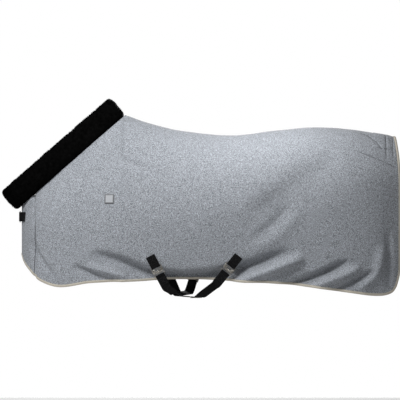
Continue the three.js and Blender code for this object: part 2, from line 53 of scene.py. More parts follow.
# ---------------------------------------------------------------- camera, floor and lights
VIEW_WIDTH = 2.12                 # what the picture takes in across the rug
VIEW_CENTRE = (0.3975, -0.453)    # x and z
VIEW_PLANE = -0.13                # the y at which the picture is that wide
CAMERA_Y = -30.0
FLOOR_Z = -1.6
FLOOR_SIZE = 5.4
HORIZON_BAND = (0.45, 0.47, 0.53, 0.55)   # half of one plus the sine of the height, white inside
ROOM_LIGHT = 0.19


def make_camera():
    data = bpy.data.cameras.new("camera")
    data.sensor_width = 36
    data.lens = data.sensor_width * (VIEW_PLANE - CAMERA_Y) / VIEW_WIDTH
    data.clip_end = 100
    camera = bpy.data.objects.new("camera", data)
    camera.location = (VIEW_CENTRE[0], CAMERA_Y, VIEW_CENTRE[1])
    camera.rotation_euler = (PI / 2, 0, 0)
    bpy.context.scene.collection.objects.link(camera)
    bpy.context.scene.camera = camera


def area_light(name, place, target, size, watts):
    data = bpy.data.lights.new(name, "AREA")
    data.shape = "RECTANGLE"
    data.size, data.size_y = size
    data.energy = watts
    light = bpy.data.objects.new(name, data)
    light.location = place
    aim = Vector(target) - Vector(place)
    light.rotation_euler = aim.to_track_quat("-Z", "Y").to_euler()
    light.visible_camera = False
    bpy.context.scene.collection.objects.link(light)


def make_studio():
    """Soft lights in front, above and behind, in a dim room with a white band at eye level."""
    area_light("key", (-1.0, -2.3, 1.5), (0.1, 0.0, -0.5), (1.4, 0.9), 136)
    area_light("top", (0.72, -0.50, 0.44), (0.68, -0.18, -0.3), (0.5, 0.3), 7.5)
    area_light("rear", (0.5, 4.8, 1.6), (0.4, 0.0, -0.5), (2.6, 1.6), 180)
    world = bpy.data.worlds.new("studio")
    world.use_nodes = True
    tree = world.node_tree
    background = tree.nodes["Background"]
    direction = tree.nodes.new("ShaderNodeTexCoord").outputs["Generated"]
    height = tree.nodes.new("ShaderNodeSeparateXYZ")
    ramp = tree.nodes.new("ShaderNodeValToRGB")
    shift = tree.nodes.new("ShaderNodeMath")
    shift.operation = "MULTIPLY_ADD"
    shift.inputs[1].default_value, shift.inputs[2].default_value = 0.5, 0.5
    tree.links.new(direction, height.inputs[0])
    tree.links.new(height.outputs["Z"], shift.inputs[0])
    tree.links.new(shift.outputs[0], ramp.inputs["Fac"])
    tree.links.new(ramp.outputs["Color"], background.inputs["Color"])
    stops = ramp.color_ramp.elements
    stops.new(HORIZON_BAND[1])
    stops.new(HORIZON_BAND[2])
    for stop, height, light in zip(stops, HORIZON_BAND, (ROOM_LIGHT, 1, 1, ROOM_LIGHT)):
        stop.position = height
        stop.color = (light, light, light, 1)
    bpy.context.scene.world = world
    bpy.context.scene.view_settings.view_transform = "Standard"


# ---------------------------------------------------------------- materials
class Shader:
    """A principled material with short ways to add nodes and link them."""

    def __init__(self, name, **sockets):
        self.material = bpy.data.materials.new(name)
        self.material.use_nodes = True
        self.tree = self.material.node_tree
        self.surface = self.tree.nodes["Principled BSDF"]
        for socket, value in sockets.items():
            self.surface.inputs[socket.replace("_", " ")].default_value = value

    def node(self, kind, inputs=(), **settings):
        made = self.tree.nodes.new("ShaderNode" + kind)
        for key, value in settings.items():
            setattr(made, key, value)
        for socket, value in dict(inputs).items():
            if isinstance(value, bpy.types.NodeSocket):
                self.tree.links.new(value, made.inputs[socket])
            else:
                made.inputs[socket].default_value = value
        return made

    def place(self):
        return self.node("TexCoord").outputs["Object"]

    def uv(self, across, along):
        """The piece's own map in metres, counted in threads across and along."""
        source = self.node("UVMap", uv_map="web").outputs["UV"]
        return self.node("VectorMath", {0: source, 1: (across, along, 1)}, operation="MULTIPLY")

    def noise(self, vector, scale, detail=3.0, roughness=0.6):
        return self.node("TexNoise", {"Vector": vector, "Scale": scale, "Detail": detail,
                                      "Roughness": roughness}).outputs["Fac"]

    def stretch(self, value, low, high, to_low=0.0, to_high=1.0):
        return self.node("MapRange", {"Value": value, "From Min": low, "From Max": high,
                                      "To Min": to_low, "To Max": to_high}).outputs["Result"]

    def math(self, operation, *values):
        return self.node("Math", enumerate(values), operation=operation).outputs[0]

    def sum(self, *values):
        return self.math("ADD", *values)

    def times(self, *values):
        return self.math("MULTIPLY", *values)

    def mix(self, share, low, high):
        return self.node("Mix", {0: share, 6: low, 7: high}, data_type="RGBA").outputs[2]

    def bump(self, height, depth, strength=1.0):
        made = self.node("Bump", {"Height": height, "Distance": depth, "Strength": strength})
        self.link(made.outputs["Normal"], "Normal")

    def link(self, value, socket):
        self.tree.links.new(value, self.surface.inputs[socket])


def grey(value, blue=0.0):
    return (value * (1 - blue), value, value * (1 + 1.5 * blue), 1)


def fleece():
    """Melange fleece: pale and dark fibres mixed, a knitted grain and a soft nap."""
    s = Shader("melange_fleece", Roughness=0.95, Sheen_Weight=0.08, Sheen_Roughness=0.6)
    s.surface.inputs["Specular IOR Level"].default_value = 0.15
    place = s.place()
    fibres = s.stretch(s.noise(place, 300, 1.0, 0.6), 0.36, 0.64)
    specks = s.stretch(s.noise(place, 640, 1.5, 0.6), 0.38, 0.62)
    patches = s.noise(place, 9, 2.0)
    blend = s.times(fibres, specks)
    share = s.sum(s.times(fibres, 0.55), s.times(blend, 0.45))
    tone = s.mix(share, grey(0.085, 0.06), grey(0.43, 0.06))
    tone = s.mix(s.stretch(patches, 0.3, 0.7, 0.0, 0.10), tone, grey(0.16, 0.08))
    s.link(tone, "Base Color")
    nap = s.sum(s.noise(place, 900, 2.0), s.times(fibres, 0.8))
    s.bump(nap, 0.7 * MM, 0.7)
    return s.material


def fur():
    """Black lambswool pile with a little shine on its tips."""
    s = Shader("black_pile", Roughness=0.85)
    s.surface.inputs["Specular IOR Level"].default_value = 0.012
    place = s.place()
    clumps = s.noise(place, 60, 4.0, 0.7)
    s.link(s.mix(s.stretch(clumps, 0.35, 0.7), grey(0.0004), grey(0.0022)), "Base Color")
    s.bump(s.sum(clumps, s.noise(place, 420, 3.0)), 2.5 * MM, 0.8)
    return s.material


def woven(name, dark, light, threads, depth, roughness=0.8, shine=0.08):
    """Webbing or tape: a twill of threads across and along the piece's own map."""
    s = Shader(name, Roughness=roughness)
    s.surface.inputs["Specular IOR Level"].default_value = shine
    grid = s.uv(threads, threads * 0.6).outputs["Vector"]
    parts = s.node("SeparateXYZ", {0: grid})
    across, along = parts.outputs["X"], parts.outputs["Y"]
    phase = s.sum(along, s.times(s.math("FLOOR", across), 0.5))
    warp = s.math("COSINE", s.times(across, 2 * PI))
    pick = s.math("COSINE", s.times(phase, 2 * PI))
    height = s.sum(s.times(pick, 0.5), s.times(warp, -0.5))
    wear = s.stretch(s.noise(s.place(), 35, 3.0), 0.35, 0.7)
    # thread crowns painted lighter and hollows darker (painted highlight and shade), with random wear
    # on top
    crown_highlight_and_wear = s.sum(s.stretch(height, -1, 1, 0, 0.8), s.times(wear, 0.2))
    s.link(s.mix(crown_highlight_and_wear, dark, light), "Base Color")
    s.bump(height, depth, 0.8)
    return s.material


def nickel():
    """Nickel-plated steel with fine scuffs."""
    s = Shader("nickel_plate", Metallic=1.0, Roughness=0.25)
    place = s.place()
    scuffs = s.noise(place, 260, 5.0, 0.7)
    cloud = s.noise(place, 45, 3.0)
    s.link(s.mix(cloud, (0.20, 0.19, 0.17, 1), (0.50, 0.48, 0.44, 1)), "Base Color")
    s.link(s.stretch(scuffs, 0.3, 0.75, 0.10, 0.30), "Roughness")
    s.bump(scuffs, 0.08 * MM, 0.4)
    return s.material


def thread(name, tone, sheen=0.2):
    s = Shader(name, Roughness=0.6, Sheen_Weight=sheen)
    place = s.place()
    twist = s.noise(place, 1500, 2.0)
    low = tuple(c * 0.7 for c in tone[:3]) + (1,)
    s.link(s.mix(twist, low, tone), "Base Color")
    s.bump(twist, 0.15 * MM, 0.5)
    return s.material


def label_weave():
    """A damask-woven blank label, with a painted shadow as a dark rim round its edge, kept by its own
    map.
    """
    s = Shader("label_weave", Roughness=0.55, Sheen_Weight=0.1)
    grid = s.uv(1100, 1100).outputs["Vector"]
    checks = s.node("TexChecker", {"Vector": grid, "Scale": 1.0}).outputs["Fac"]
    cloud = s.noise(s.place(), 90, 3.0)
    tone = s.mix(s.stretch(cloud, 0.3, 0.7, 0.2, 0.8), grey(0.23, 0.04), grey(0.30, 0.04))
    tone = s.mix(s.times(checks, 0.25), tone, grey(0.2, 0.04))
    parts = s.node("SeparateXYZ", {0: s.uv(1, 1).outputs["Vector"]})
    out = [s.math("ABSOLUTE", parts.outputs[k]) for k in "XY"]
    inner = LABEL_SIZE / 2 - 6 * MM
    # the outer rim of the label is painted darker: painted shadow round its edge
    edge = s.stretch(s.math("MAXIMUM", *out), inner - 0.5 * MM, inner + 0.5 * MM)
    s.link(s.mix(edge, tone, grey(0.085, 0.04)), "Base Color")
    s.bump(checks, 0.2 * MM, 0.5)
    return s.material


def floor_paint():
    s = Shader("studio_floor", Roughness=0.9)
    cloud = s.noise(s.place(), 1.2, 3.0)
    s.link(s.mix(cloud, grey(0.70), grey(0.73)), "Base Color")
    return s.material


FLEECE = fleece()
FUR = fur()
BINDING = woven("cream_tape", (0.30, 0.275, 0.23, 1), (0.48, 0.445, 0.38, 1), 900, 0.25 * MM)
WEBBING = woven("black_webbing", (0.0006, 0.0006, 0.0007, 1), (0.006, 0.006, 0.0065, 1), 420,
                0.35 * MM)
VELCRO = woven("black_hook_loop", (0.001, 0.001, 0.001, 1), (0.009, 0.009, 0.009, 1), 700, 0.6 * MM)
NICKEL = nickel()
LABEL = label_weave()
GREY_THREAD = thread("grey_thread", grey(0.30, 0.04))
CREAM_THREAD = thread("cream_thread", (0.72, 0.68, 0.60, 1))
# a dark thread laid in the seams as painted shadow along the seam lines
SEAM_SHADOW_THREAD = thread("seam_shadow_thread", grey(0.035, 0.04), 0.0)
BLACK_THREAD = thread("black_thread", (0.006, 0.006, 0.0065, 1), 0.0)


# ---------------------------------------------------------------- small helpers
def clamp01(value):
    return np.clip(value, 0.0, 1.0)


def smooth(low, high, value):
    t = clamp01((value - low) / (high - low))
    return t * t * (3 - 2 * t)


def unit(vectors):
    vectors = np.asarray(vectors, float)
    return vectors / np.linalg.norm(vectors, axis=-1, keepdims=True)


def dot(a, b):
    return (a * b).sum(-1, keepdims=True)


def curve(points):
    """A smooth curve through (x, value) points, as the panels were cut by."""
    xs, ys = (np.array(c, float) for c in zip(*points))
    before = np.maximum(np.arange(len(xs)) - 1, 0)
    after = np.minimum(np.arange(len(xs)) + 1, len(xs) - 1)
    slopes = (ys[after] - ys[before]) / (xs[after] - xs[before])

    def value(x):
        i = np.clip(np.searchsorted(xs, x) - 1, 0, len(xs) - 2)
        span = xs[i + 1] - xs[i]
        t = clamp01((x - xs[i]) / span)
        rise = ys[i + 1] - ys[i]
        bend0, bend1 = slopes[i] * span, slopes[i + 1] * span
        return (ys[i] + bend0 * t + (3 * rise - 2 * bend0 - bend1) * t**2
                + (bend0 + bend1 - 2 * rise) * t**3)
    return value


def make_object(name, points, faces, materials, face_materials=None, uv=None, smooth_faces=True):
    """A mesh piece; uv is one (across, along) in metres for each point."""
    mesh = bpy.data.meshes.new(name)
    mesh.from_pydata(np.asarray(points, float).reshape(-1, 3).tolist(), [], faces)
    for material in materials:
        mesh.materials.append(material)
    if face_materials is not None:
        mesh.polygons.foreach_set("material_index", np.asarray(face_materials, np.int32))
    if uv is not None:
        layer = mesh.uv_layers.new(name="web")
        loops = np.zeros(len(mesh.loops), np.int32)
        mesh.loops.foreach_get("vertex_index", loops)
        layer.data.foreach_set("uv", np.asarray(uv, np.float32)[loops].ravel())
    whole = bmesh.new()
    whole.from_mesh(mesh)
    bmesh.ops.recalc_face_normals(whole, faces=whole.faces)
    whole.to_mesh(mesh)
    whole.free()
    mesh.polygons.foreach_set("use_smooth", np.full(len(mesh.polygons), smooth_faces))
    mesh.update()
    made = bpy.data.objects.new(name, mesh)
    bpy.context.scene.collection.objects.link(made)
    return made


def settle(piece, nodes=(), body="rug"):
    if body:
        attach(piece, body)
    if nodes:
        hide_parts(*nodes)
    return piece


def grid_faces(rows, columns, first=0, closed=False):
    """Quads of a grid of points, row by row; closed joins the last column to the first."""
    faces = []
    for r in range(rows - 1):
        for c in range(columns if closed else columns - 1):
            a, b = first + r * columns + c, first + r * columns + (c + 1) % columns
            faces.append((a, b, b + columns, a + columns))
    return faces


def slab(outer, inner):
    """Points and faces of a closed sheet between two equal grids."""
    rows, columns = outer.shape[:2]
    second = rows * columns
    faces = grid_faces(rows, columns)
    faces += [tuple(i + second for i in reversed(face)) for face in faces]
    rim = (list(range(columns)) + [r * columns + columns - 1 for r in range(1, rows)]
           + [second - 1 - c for c in range(1, columns)]
           + [r * columns for r in range(rows - 2, 0, -1)])
    faces += [(b, a, a + second, b + second) for a, b in zip(rim, rim[1:] + rim[:1])]
    return np.concatenate([outer.reshape(-1, 3), inner.reshape(-1, 3)]), faces


def web_map(along, across):
    """(across, along) in metres for each point of a grid of webbing or tape."""
    return np.stack(np.meshgrid(across, along), -1).reshape(-1, 2)


def loft(rings):
    """Points and faces through equal closed rings, capped at both ends."""
    count, size = rings.shape[:2]
    faces = grid_faces(count, size, closed=True)
    faces.append(tuple(range(size)))
    faces.append(tuple(reversed(range((count - 1) * size, count * size))))
    return rings.reshape(-1, 3), faces


def resample(points, spacing, *others):
    """The polyline at even spacing, with whatever else is given for its points."""
    points = np.asarray(points, float)
    steps = np.linalg.norm(np.diff(points, axis=0), axis=1)
    length = np.concatenate([[0], np.cumsum(steps)])
    count = max(2, int(round(length[-1] / spacing)) + 1)
    at = np.linspace(0, length[-1], count)
    found = [np.stack([np.interp(at, length, np.asarray(values)[:, k]) for k in range(3)], 1)
             for values in (points, *others)]
    return (at, *found)


def stitch_mesh(runs, pitch=6 * MM, length=4.4 * MM, radius=0.5 * MM, sides=5):
    """Points and faces of sewn stitches along runs of (points, outward directions)."""
    points, faces = [], []
    for path, outward in runs:
        _, places, normals = resample(path, pitch, outward)
        ahead = unit(np.gradient(places, axis=0))
        for place, forward, normal in zip(places, ahead, unit(normals)):
            across = np.cross(forward, normal)
            first = len(points)
            points.append(place - forward * length / 2)
            for share in (-0.25, 0.25):
                for k in range(sides):
                    a = 2 * PI * k / sides
                    points.append(place + forward * length * share + normal * radius * 0.5
                                  + radius * (math.cos(a) * across + math.sin(a) * normal))
            points.append(place + forward * length / 2)
            tip = first + 1 + 2 * sides
            for k in range(sides):
                m = (k + 1) % sides
                low, high = first + 1, first + 1 + sides
                faces += [(first, low + m, low + k), (low + k, low + m, high + m, high + k),
                          (high + k, high + m, tip)]
    return points, faces


def round_trip(corners):
    """The sides of a closed outline."""
    return list(zip(corners, corners[1:] + corners[:1]))


def stitching(name, runs, material, slot, body="rug", **settings):
    points, faces = stitch_mesh(runs, **settings)
    return settle(make_object(name, points, faces, [material]), body=body)


# ---------------------------------------------------------------- the drape of the panels
BACK_LENGTH = 1.450
CHEST_REACH = 0.551
NECK_DROP = 0.480
NOSE_START = -0.300
SHOULDER_HALF = 0.238
NECK_HALF = 0.150
REAR_LEAN = 0.022
CLOTH = 0.004
FIT = 0.0004
CHEST_OVERLAP = 0.045
CHEST_STEP = 0.011
CHEST_SEAM_X = -0.482
ARCH_SHARE = 0.55                 # share of a station above its widest line
EASE = 0.075                      # stations over which the cloth eases round the withers
BINDING_WIDTH = 0.012
BINDING_GAP = 0.001
OVERLAP_T = -1 - math.asin(CHEST_OVERLAP / SHOULDER_HALF) / PI

spine_z = curve([(0, 0), (0.13, -0.045), (0.3, -0.084), (0.56, -0.109), (0.77, -0.087),
                 (1.0, -0.066), (1.2, -0.077), (1.45, -0.112)])
widest_z = curve([(-0.551, -0.64), (-0.3, -0.6), (0, -0.56), (0.45, -0.54), (1.05, -0.43),
                  (1.45, -0.42)])
hem_edge_z = curve([(-0.551, -0.75), (-0.535, -0.79), (-0.503, -0.832), (-0.45, -0.884),
                    (-0.344, -0.916), (-0.185, -0.895), (0.08, -0.888), (0.609, -0.888),
                    (0.874, -0.904), (1.192, -0.946), (1.33, -0.962), (1.404, -0.95),
                    (1.432, -0.915), (1.45, -0.845)])
half_width = curve([(-0.3, SHOULDER_HALF), (-0.15, 0.262), (0, 0.285), (0.2, 0.31),
                    (0.45, 0.325), (0.7, 0.32), (0.9, 0.307), (1.1, 0.3), (1.25, 0.285),
                    (1.35, 0.262), (1.45, 0.222)])
hem_tuck = curve([(-0.551, 0), (-0.3, 0.008), (0, 0.03), (0.2, 0.052), (0.48, 0.048),
                  (0.7, 0.026), (1.1, 0.01), (1.45, 0.014)])


def hem_z(x):
    return hem_edge_z(x) + BINDING_WIDTH + BINDING_GAP


def station(t):
    """Neckline or spine point, half width and first arch angle; t is 1 at the tail, -1 at the chest."""
    turn = np.maximum(0, -t) * PI
    x = np.where(t > 0, t * BACK_LENGTH, -CHEST_REACH / 2 * (1 - np.cos(turn)))
    neck_y = np.where(t > 0, 0, NECK_HALF * np.sin(turn))
    neck_z = np.where(t > 0, spine_z(x), x * NECK_DROP / CHEST_REACH)
    nose = (NOSE_START - x) / (CHEST_REACH + NOSE_START)
    rounded = np.sqrt(np.maximum(0, 1 - nose**2)) * np.sign(1 + t)
    wide = np.where(nose > 0, SHOULDER_HALF * rounded, half_width(x))
    start = math.radians(50) * smooth(0, 0.25, -t)
    return x, neck_y, neck_z, wide, start


def station_at(x):
    return x / BACK_LENGTH if x > 0 else -math.acos(1 + 2 * x / CHEST_REACH) / PI


def drape(side, t, v):
    """Points of the outer face before any fold; v runs from 0 at the top to 1 at the hem.
    Below the withers, where back and neckline meet at a corner, the cloth is eased round it."""
    t, v = np.broadcast_arrays(np.asarray(t, float), np.asarray(v, float))
    window = EASE * smooth(0.0, 0.10, v) * (1 - smooth(0.05, 0.16, np.abs(t)))
    points = cut(side, t, v)
    near = window > 0
    if near.any():
        shares = np.linspace(-1, 1, 7)
        weights = np.exp(-2 * shares**2)
        points[near] = sum(w * cut(side, t[near] + window[near] * k, v[near])
                           for w, k in zip(weights / weights.sum(), shares))
    return points


def cut(side, t, v):
    x, neck_y, neck_z, wide, start = station(t)
    angle = start + (PI / 2 - start) * clamp01(v / ARCH_SHARE)
    out = (np.sin(angle) - np.sin(start)) / (1 - np.sin(start))
    down = 1 - np.cos(angle) / np.cos(start)
    hang = clamp01((v - ARCH_SHARE) / (1 - ARCH_SHARE))
    middle = widest_z(x)
    y = neck_y + (wide - neck_y) * out - hem_tuck(x) * hang**1.5
    z = neck_z + (middle - neck_z) * down + (hem_z(x) - middle) * hang
    lean = REAR_LEAN * smooth(0.8, 1, t) * (1 - smooth(0, 0.5, v))
    return np.stack([x - lean, side * (y + FIT / 2), z], -1)


PROBE = 1e-3


def facing(side, t, v):
    t, v = np.asarray(t, float), np.asarray(v, float)
    forward = (drape(side, np.minimum(t + PROBE, 1), v)
               - drape(side, np.maximum(t - PROBE, OVERLAP_T), v))
    downward = (drape(side, t, np.minimum(v + PROBE, 1))
                - drape(side, t, np.maximum(v - PROBE, 0)))
    return unit(np.cross(forward, downward) * side)


def chest_step(side, t):
    wide = station(np.asarray(t, float))[3]
    under = CHEST_STEP * (1 - smooth(0.055, 0.130, wide))
    return np.where((side > 0) & (np.asarray(t) < 0), under, 0.0)[..., None]


def row_at(t, z):
    """The share v at which a station reaches height z."""
    high, low = 0.0, 1.0
    for _ in range(24):
        middle = (high + low) / 2
        if drape(1, t, middle)[2] > z:
            high = middle
        else:
            low = middle
    return (high + low) / 2


# ---------------------------------------------------------------- folds
# Each fold follows (x, z) points, with its height off the cloth (below 0 is a crease) and half width
FOLDS = [
    ([(-0.180, -0.735), (-0.027, -0.776), (0.132, -0.838), (0.344, -0.858), (0.53, -0.836),
      (0.662, -0.798), (0.880, -0.722)], -0.054, 0.034),
    ([(0.567, -0.892), (0.636, -0.868), (0.837, -0.796), (0.950, -0.760)], 0.046, 0.030),
    ([(-0.548, -0.512), (-0.518, -0.472), (-0.487, -0.436)], 0.007, 0.007),
    ([(-0.538, -0.534), (-0.503, -0.488), (-0.476, -0.446)], -0.007, 0.006),
    ([(0.80, -0.905), (0.912, -0.882), (1.02, -0.846), (1.124, -0.798), (1.19, -0.77)], -0.038, 0.020),
    ([(1.00, -0.912), (1.17, -0.846), (1.25, -0.806)], 0.022, 0.022),
    ([(1.09, -0.932), (1.155, -0.910), (1.261, -0.858), (1.32, -0.825)], -0.028, 0.018),
    ([(1.225, -0.924), (1.325, -0.844), (1.367, -0.692)], 0.018, 0.028),
    ([(1.395, -0.60), (1.405, -0.78), (1.395, -0.94)], -0.010, 0.018),
    ([(0.669, -0.660), (0.795, -0.57), (0.869, -0.48)], -0.009, 0.036),
    ([(0.662, -0.720), (0.795, -0.654), (0.947, -0.48)], 0.007, 0.034),
    ([(-0.274, -0.800), (-0.132, -0.856), (-0.022, -0.880)], -0.018, 0.018),
    ([(-0.212, -0.798), (-0.1, -0.828), (0.02, -0.858)], 0.017, 0.020),
    ([(-0.5, -0.66), (-0.45, -0.755), (-0.36, -0.877)], -0.010, 0.018),
    ([(-0.053, -0.225), (0.08, -0.268), (0.159, -0.294)], -0.006, 0.018),
    ([(0.66, -0.56), (0.8, -0.45), (0.98, -0.32), (1.15, -0.24)], -0.018, 0.090),
]
STEEP, GENTLE = 0.7, 1.35         # a crease is steeper above its line than below
# Sewn seams that pull the cloth in: the rump dart, the curved tail seam and two sewn channels
SEAMS = [
    ([(-0.482, -0.40), (-0.482, -0.55), (-0.478, -0.70), (-0.474, -0.89)], -0.0090, 0.0050),
    ([(1.240, -0.198), (1.330, -0.232), (1.428, -0.278)], -0.0035, 0.0055),
    ([(1.255, -0.098), (1.285, -0.108), (1.313, -0.130), (1.340, -0.155), (1.358, -0.182)],
     -0.0030, 0.0055),
    ([(1.383, -0.112), (1.383, -0.225)], -0.0025, 0.0045),
    ([(1.420, -0.112), (1.420, -0.225)], -0.0025, 0.0045),
]
OFF_SHIFT = 0.045                 # the off side's folds lie a little further back, and are softer
OFF_SHARE = 0.8
FLAT_FRONT = (-0.545, -0.505)     # the overlapping chest stays flat


def rounded_line(points, spacing=0.02):
    """A fold's points joined by a smooth curve."""
    points = np.array(points)
    steps = np.concatenate([[0], np.cumsum(np.linalg.norm(np.diff(points, axis=0), axis=1))])
    at = np.linspace(0, steps[-1], max(3, int(steps[-1] / spacing)))
    if len(points) == 2:
        return np.stack([np.interp(at, steps, points[:, k]) for k in (0, 1)], 1)
    return np.stack([curve(list(zip(steps, points[:, k])))(at) for k in (0, 1)], 1)


def off_line(x, z, line):
    """Distance from a line, below 0 on its lower side, and the share along it."""
    best = np.full(x.shape, 1e9)
    share, way = np.zeros(x.shape), np.ones(x.shape)
    for i, (a, b) in enumerate(zip(line, line[1:])):
        d = b - a
        t = clamp01(((x - a[0]) * d[0] + (z - a[1]) * d[1]) / (d @ d))
        gap = np.hypot(x - a[0] - t * d[0], z - a[1] - t * d[1])
        closer = gap < best
        best = np.where(closer, gap, best)
        share = np.where(closer, (i + t) / (len(line) - 1), share)
        above = d[0] * (z - a[1]) - d[1] * (x - a[0])
        way = np.where(closer, np.where(above < 0, -1.0, 1.0), way)
    return best * way, share


def relief(side, points):
    """How far the folds and seams stand off the drape, in metres."""
    x, z = points[..., 0], points[..., 2]
    shift = OFF_SHIFT if side > 0 else 0.0
    share = OFF_SHARE if side > 0 else 1.0
    height = np.zeros(x.shape)
    for line, rise, width in FOLDS:
        gap, place = off_line(x - shift, z, rounded_line(line))
        fade = np.maximum(0, 1 - (2 * place - 1) ** 4)
        skew = width * np.where(gap > 0, STEEP, GENTLE) if rise < 0 else width
        height += share * rise * fade * np.exp(-(gap / skew) ** 2)
    for line, rise, width in SEAMS:
        gap, place = off_line(x, z, rounded_line(line))
        height += rise * np.exp(-(gap / width) ** 2)
    slack = (np.sin(9.1 * x + 17 * z + 0.6 * side) * np.sin(23 * x - 7.3 * z + 1.1)
             + 0.6 * np.sin(31 * x + 13 * z + 2 * side) * np.sin(11 * x - 29 * z))
    height -= 0.0011 * (1 + slack / 1.6)
    low = smooth(-0.72, -0.88, z)
    height += 0.0022 * low * np.sin(41 * x + 3 * side) * np.sin(13 * x + 0.4)
    return height * smooth(*FLAT_FRONT, x)


def skin(side, t, v, depth=0.0):
    """The folded outer face, or a face that lies depth below it."""
    points, normals = drape(side, t, v), facing(side, t, v)
    return points + normals * (relief(side, points)[..., None] - depth - chest_step(side, t))


# ---------------------------------------------------------------- cloth pieces
def spread(start, end, count, fine_start=0, fine_end=0, fine=0.0016):
    """Even steps with a few narrow ones at either end, where an edge is rounded."""
    narrow = np.array([0, 0.5, 1, 2, 3.5, 5.5, 8]) * fine
    reach = narrow[-1] + 2 * fine
    steps = np.linspace(start + reach * fine_start, end - reach * fine_end, count)
    head = start + narrow[:7 * fine_start]
    tail = (end - narrow[:7 * fine_end])[::-1]
    return np.concatenate([head, steps, tail])


SEAM_T = station_at(CHEST_SEAM_X)
SEAM_GAP_T = 0.0008
ROWS = 148
COLUMNS = np.concatenate([spread(SEAM_T + SEAM_GAP_T, 0.82, 225, fine_start=1),
                          np.linspace(0.82, 1, 74)[1:]])
CHEST_COLUMNS = spread(OVERLAP_T, SEAM_T - SEAM_GAP_T, 46, fine_end=1)
ROUNDING = 0.0018                 # how far the cloth's outer edge is rolled in at a seam


def cloth_area(side, columns):
    """Flat size of a panel: its length, its depth and its area, before it folds."""
    t, v = np.meshgrid(columns, np.linspace(0, 1, 60), indexing="ij")
    points = drape(side, t, v)
    along, down = np.diff(points, axis=0), np.diff(points, axis=1)
    area = np.linalg.norm(np.cross(along[:, :-1], down[:-1]), axis=-1).sum()
    length = np.linalg.norm(along, axis=-1).sum(axis=0).max()
    depth = np.linalg.norm(down, axis=-1).sum(axis=1).max()
    return float(length), float(depth), float(area)


def panel(name, side, columns, nodes):
    """A side or chest panel with its folds, the seam edges rolled in."""
    rows = spread(0, 1, ROWS, fine_start=1, fine_end=1)
    t, v = np.meshgrid(columns, rows, indexing="ij")
    roll = np.zeros(t.shape)
    for i, edge in ((0, columns[0]), (-1, columns[-1])):
        gap = np.linalg.norm(drape(side, t, v) - drape(side, np.full(t.shape, edge), v), axis=-1)
        roll = np.maximum(roll, ROUNDING * np.exp(-(gap / 0.003) ** 2))
    roll = np.maximum(roll, ROUNDING * np.exp(-((v / 0.003) ** 2)))
    normals = facing(side, t, v)
    outer = skin(side, t, v) - normals * roll[..., None]
    inner = skin(side, t, v, CLOTH)
    points, faces = slab(outer, inner)
    return settle(make_object(name, points, faces, [FLEECE]), nodes)


def binding(name, side, nodes):
    """Folded tape round the front edge, the hem and the rear edge of one side."""
    hem = np.concatenate([CHEST_COLUMNS, COLUMNS])
    front = [(OVERLAP_T, v) for v in np.linspace(0.035, 0.985, 70)]
    under = [(t, 1.0) for t in hem[::2]]
    rear = [(1.0, v) for v in np.linspace(0.985, 0.03, 110)]
    t, v = np.array(front + under + rear).T
    middle = skin(side, t, v, CLOTH / 2)
    normal = facing(side, t, v)
    ahead = np.roll(middle, -1, 0) - np.roll(middle, 1, 0)
    ahead[0], ahead[-1] = middle[1] - middle[0], middle[-1] - middle[-2]
    out = unit(np.cross(ahead, normal) * -side)
    for _ in range(3):
        out[1:-1] = unit(out[:-2] + 2 * out[1:-1] + out[2:])
    half = [(-2.5, 2.8), (-1.5, 3.2), (1, 3.7), (4, 3.8), (7.5, 3.2), (10, 1.8), (10.8, 0.6)]
    mouth = [(-2.5, -2.2), (0.4, -2.2), (0.4, 2.2), (-2.5, 2.2)]
    outline = half + [(a, -b) for a, b in reversed(half)] + mouth
    rings = np.stack([middle + out * a * MM + normal * b * MM for a, b in outline], 1)
    length = np.concatenate([[0], np.cumsum(np.linalg.norm(np.diff(middle, axis=0), axis=1))])
    across = np.array([a * 0.5 + b for a, b in outline]) * MM
    points, faces = loft(rings)
    piece = settle(make_object(name, points, faces, [BINDING], uv=web_map(length, across)),
                   nodes)
    runs = [(middle + out * 0.4 * MM + normal * 3.6 * MM, normal)]
    stitches = stitching(name + "_stitches", runs, CREAM_THREAD, "binding")
    return piece, stitches


PATCH_FROM, PATCH_TO, PATCH_DEPTH = 0.92, 0.98, 0.25
PATCH_THICK = 0.0016


def tail_patch(name, side, nodes):
    """The doubled cloth beside the tail, with two sewn channels."""
    columns, rows = np.linspace(PATCH_FROM, PATCH_TO, 40), np.linspace(0, PATCH_DEPTH, 60)
    t, v = np.meshgrid(columns, rows, indexing="ij")
    edge = np.minimum.reduce([(t - PATCH_FROM) * BACK_LENGTH, (PATCH_TO - t) * BACK_LENGTH,
                              (PATCH_DEPTH - v) * 1.05])
    lift = FIT + PATCH_THICK * (0.35 + 0.65 * smooth(0, 0.003, edge))
    normals = facing(side, t, v)
    base = skin(side, t, v)
    points, faces = slab(base + normals * lift[..., None], base + normals * FIT)
    return settle(make_object(name, points, faces, [FLEECE]), nodes)


def run_on(side, line):
    """A line of (x, z) laid on the folded cloth or its patch, with the outward directions."""
    line = rounded_line(line, 0.006)
    t = np.array([station_at(x + REAR_LEAN * (x > 1.2)) for x, _ in line]).clip(OVERLAP_T, 1)
    v = np.array([row_at(a, z) for a, (_, z) in zip(t, line)])
    for _ in range(4):
        t = (t + (line[:, 0] - drape(side, t, v)[:, 0]) / BACK_LENGTH).clip(OVERLAP_T, 1)
        v = np.array([row_at(a, z) for a, (_, z) in zip(t, line)])
    patched = (t > PATCH_FROM) & (t < PATCH_TO) & (v < PATCH_DEPTH)
    lift = np.where(patched, FIT + PATCH_THICK, 0.0) + 0.2 * MM
    return skin(side, t, v, -lift[:, None]), facing(side, t, v)


def beside(side, columns, v, lift=0.2 * MM):
    """A run of stitches along a row of the panels."""
    t = np.asarray(columns)
    v = np.full(t.shape, v) if np.isscalar(v) else v
    return skin(side, t, v, -lift), facing(side, t, v)


